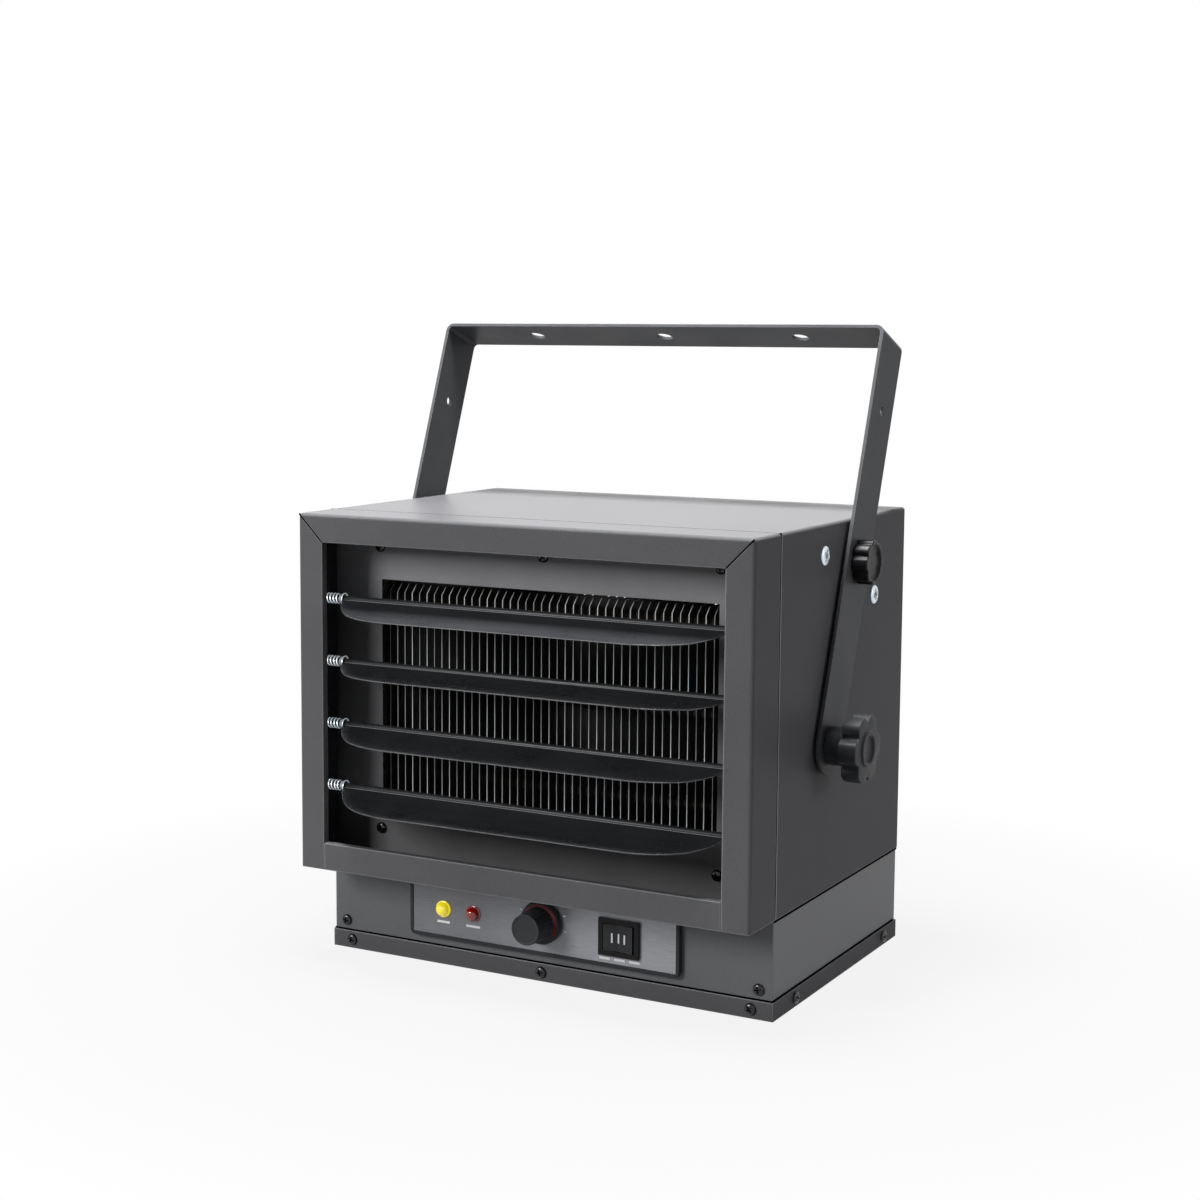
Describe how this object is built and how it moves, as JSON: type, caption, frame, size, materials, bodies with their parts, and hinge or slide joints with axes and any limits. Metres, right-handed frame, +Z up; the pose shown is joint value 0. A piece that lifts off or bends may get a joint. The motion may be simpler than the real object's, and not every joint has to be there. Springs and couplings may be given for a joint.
{
  "type": "garage heater",
  "caption": "Fan-forced heater in a folded charcoal steel cabinet with tilting louvers, a control strip and a knob-locked ceiling bracket.",
  "frame": {"origin": "middle of the base tray's underside", "axes": "+X to the right seen from the front, +Y to the back, +Z up"},
  "size_m": [0.4382, 0.3103, 0.48],
  "materials": {
    "casing_paint": "textured charcoal powder coat",
    "baffle_paint": "satin charcoal paint",
    "bracket_paint": "satin dark grey powder coat",
    "louver_paint": "satin black paint",
    "zinc_steel": "bright zinc plate",
    "fin_metal": "plain rolled sheet",
    "tube_metal": "dull heat-stained steel",
    "ceramic": "unglazed white ceramic",
    "black_plastic": "fine-grained moulded plastic",
    "panel_grey": "smooth mid-grey paint",
    "yellow_lens": "clear tinted gloss",
    "red_lens": "clear tinted gloss",
    "black_screw": "black oxide, slightly glossy",
    "guard_wire": "black enamel",
    "motor_paint": "plain grey paint"
  },
  "bodies": {
    "cabinet": {"casing_wrap": "casing_paint", "front_surround": "casing_paint", "surround_bottom_rail": "casing_paint", "front_baffle": "baffle_paint", "casing_floor": "zinc_steel", "rear_panel": "casing_paint", "fan_guard": "guard_wire", "fan_bulkhead": "zinc_steel", "motor_mount": "zinc_steel", "motor_can": "motor_paint", "heater_fins": "fin_metal", "end_plate_right": "zinc_steel", "end_plate_left": "zinc_steel", "heating_tubes": "tube_metal", "tube_insulators": "ceramic", "heat_cutout": "black_plastic", "control_box": "casing_paint", "box_rear_cover": "casing_paint", "base_tray": "casing_paint", "cable_bush": "black_plastic", "terminal_block": "ceramic", "control_bezel": "casing_paint", "control_plate": "panel_grey", "power_lamp": "yellow_lens", "warning_lamp": "red_lens", "thermostat_body": "black_plastic", "switch_housing": "black_plastic", "louver_rail_right": "louver_paint", "louver_rail_left": "louver_paint", "louver_springs": "zinc_steel", "pivot_inserts": "zinc_steel", "index_inserts": "zinc_steel", "pivot_washers": "black_plastic", "index_screws": "zinc_steel", "baffle_screws": "black_screw", "box_screws": "black_screw", "tray_screws": "black_screw", "rear_screws": "black_screw"},
    "bracket": {"mounting_bracket": "bracket_paint"},
    "pivot_knob_right": {"pivot_knob_right": "black_plastic", "pivot_stud_right": "zinc_steel"},
    "lock_knob_right": {"lock_knob_right": "black_plastic", "lock_stud_right": "zinc_steel"},
    "pivot_knob_left": {"pivot_knob_left": "black_plastic", "pivot_stud_left": "zinc_steel"},
    "lock_knob_left": {"lock_knob_left": "black_plastic", "lock_stud_left": "zinc_steel"},
    "louver_1": {"louver_1": "louver_paint", "louver_rod_1": "zinc_steel"},
    "louver_2": {"louver_2": "louver_paint", "louver_rod_2": "zinc_steel"},
    "louver_3": {"louver_3": "louver_paint", "louver_rod_3": "zinc_steel"},
    "louver_4": {"louver_4": "louver_paint", "louver_rod_4": "zinc_steel"},
    "fan": {"fan_rotor": "black_plastic", "motor_shaft": "zinc_steel"},
    "thermostat_knob": {"thermostat_knob": "black_plastic", "thermostat_spindle": "zinc_steel"},
    "switch_rocker": {"switch_rocker": "black_plastic"}
  },
  "joints": [
    {"name": "bracket_tilt", "type": "hinge", "parent": "cabinet", "child": "bracket", "pos_m": [0, -0.038, 0.181], "axis": [1, 0, 0], "range_deg": [-23, 23]},
    {"name": "pivot_knob_right_turn", "type": "hinge", "parent": "cabinet", "child": "pivot_knob_right", "pos_m": [0.19, -0.038, 0.181], "axis": [1, 0, 0], "continuous": true},
    {"name": "pivot_knob_left_turn", "type": "hinge", "parent": "cabinet", "child": "pivot_knob_left", "pos_m": [-0.19, -0.038, 0.181], "axis": [-1, 0, 0], "continuous": true},
    {"name": "lock_knob_right_turn", "type": "hinge", "parent": "bracket", "child": "lock_knob_right", "pos_m": [0.19, 0.01092, 0.30843], "axis": [1, 0, 0], "continuous": true},
    {"name": "lock_knob_left_turn", "type": "hinge", "parent": "bracket", "child": "lock_knob_left", "pos_m": [-0.19, 0.01092, 0.30843], "axis": [-1, 0, 0], "continuous": true},
    {"name": "louver_1_tilt", "type": "hinge", "parent": "cabinet", "child": "louver_1", "pos_m": [0, -0.1445, 0.27508], "axis": [1, 0, 0], "range_deg": [-27.7, 47.3]},
    {"name": "louver_2_tilt", "type": "hinge", "parent": "cabinet", "child": "louver_2", "pos_m": [0, -0.1445, 0.22762], "axis": [1, 0, 0], "range_deg": [-21.4, 53.6]},
    {"name": "louver_3_tilt", "type": "hinge", "parent": "cabinet", "child": "louver_3", "pos_m": [0, -0.1445, 0.18018], "axis": [1, 0, 0], "range_deg": [-25.3, 49.7]},
    {"name": "louver_4_tilt", "type": "hinge", "parent": "cabinet", "child": "louver_4", "pos_m": [0, -0.1445, 0.13273], "axis": [1, 0, 0], "range_deg": [-28.9, 46.1]},
    {"name": "fan_spin", "type": "hinge", "parent": "cabinet", "child": "fan", "pos_m": [0, 0.023, 0.206], "axis": [0, 1, 0], "continuous": true},
    {"name": "thermostat_turn", "type": "hinge", "parent": "cabinet", "child": "thermostat_knob", "pos_m": [0.00279, -0.14, 0.046], "axis": [0, -1, 0], "range_deg": [-150, 150]},
    {"name": "rocker_tilt", "type": "hinge", "parent": "cabinet", "child": "switch_rocker", "pos_m": [0.06599, -0.1215, 0.043], "axis": [0, 0, 1], "range_deg": [-8, 8]}
  ]
}
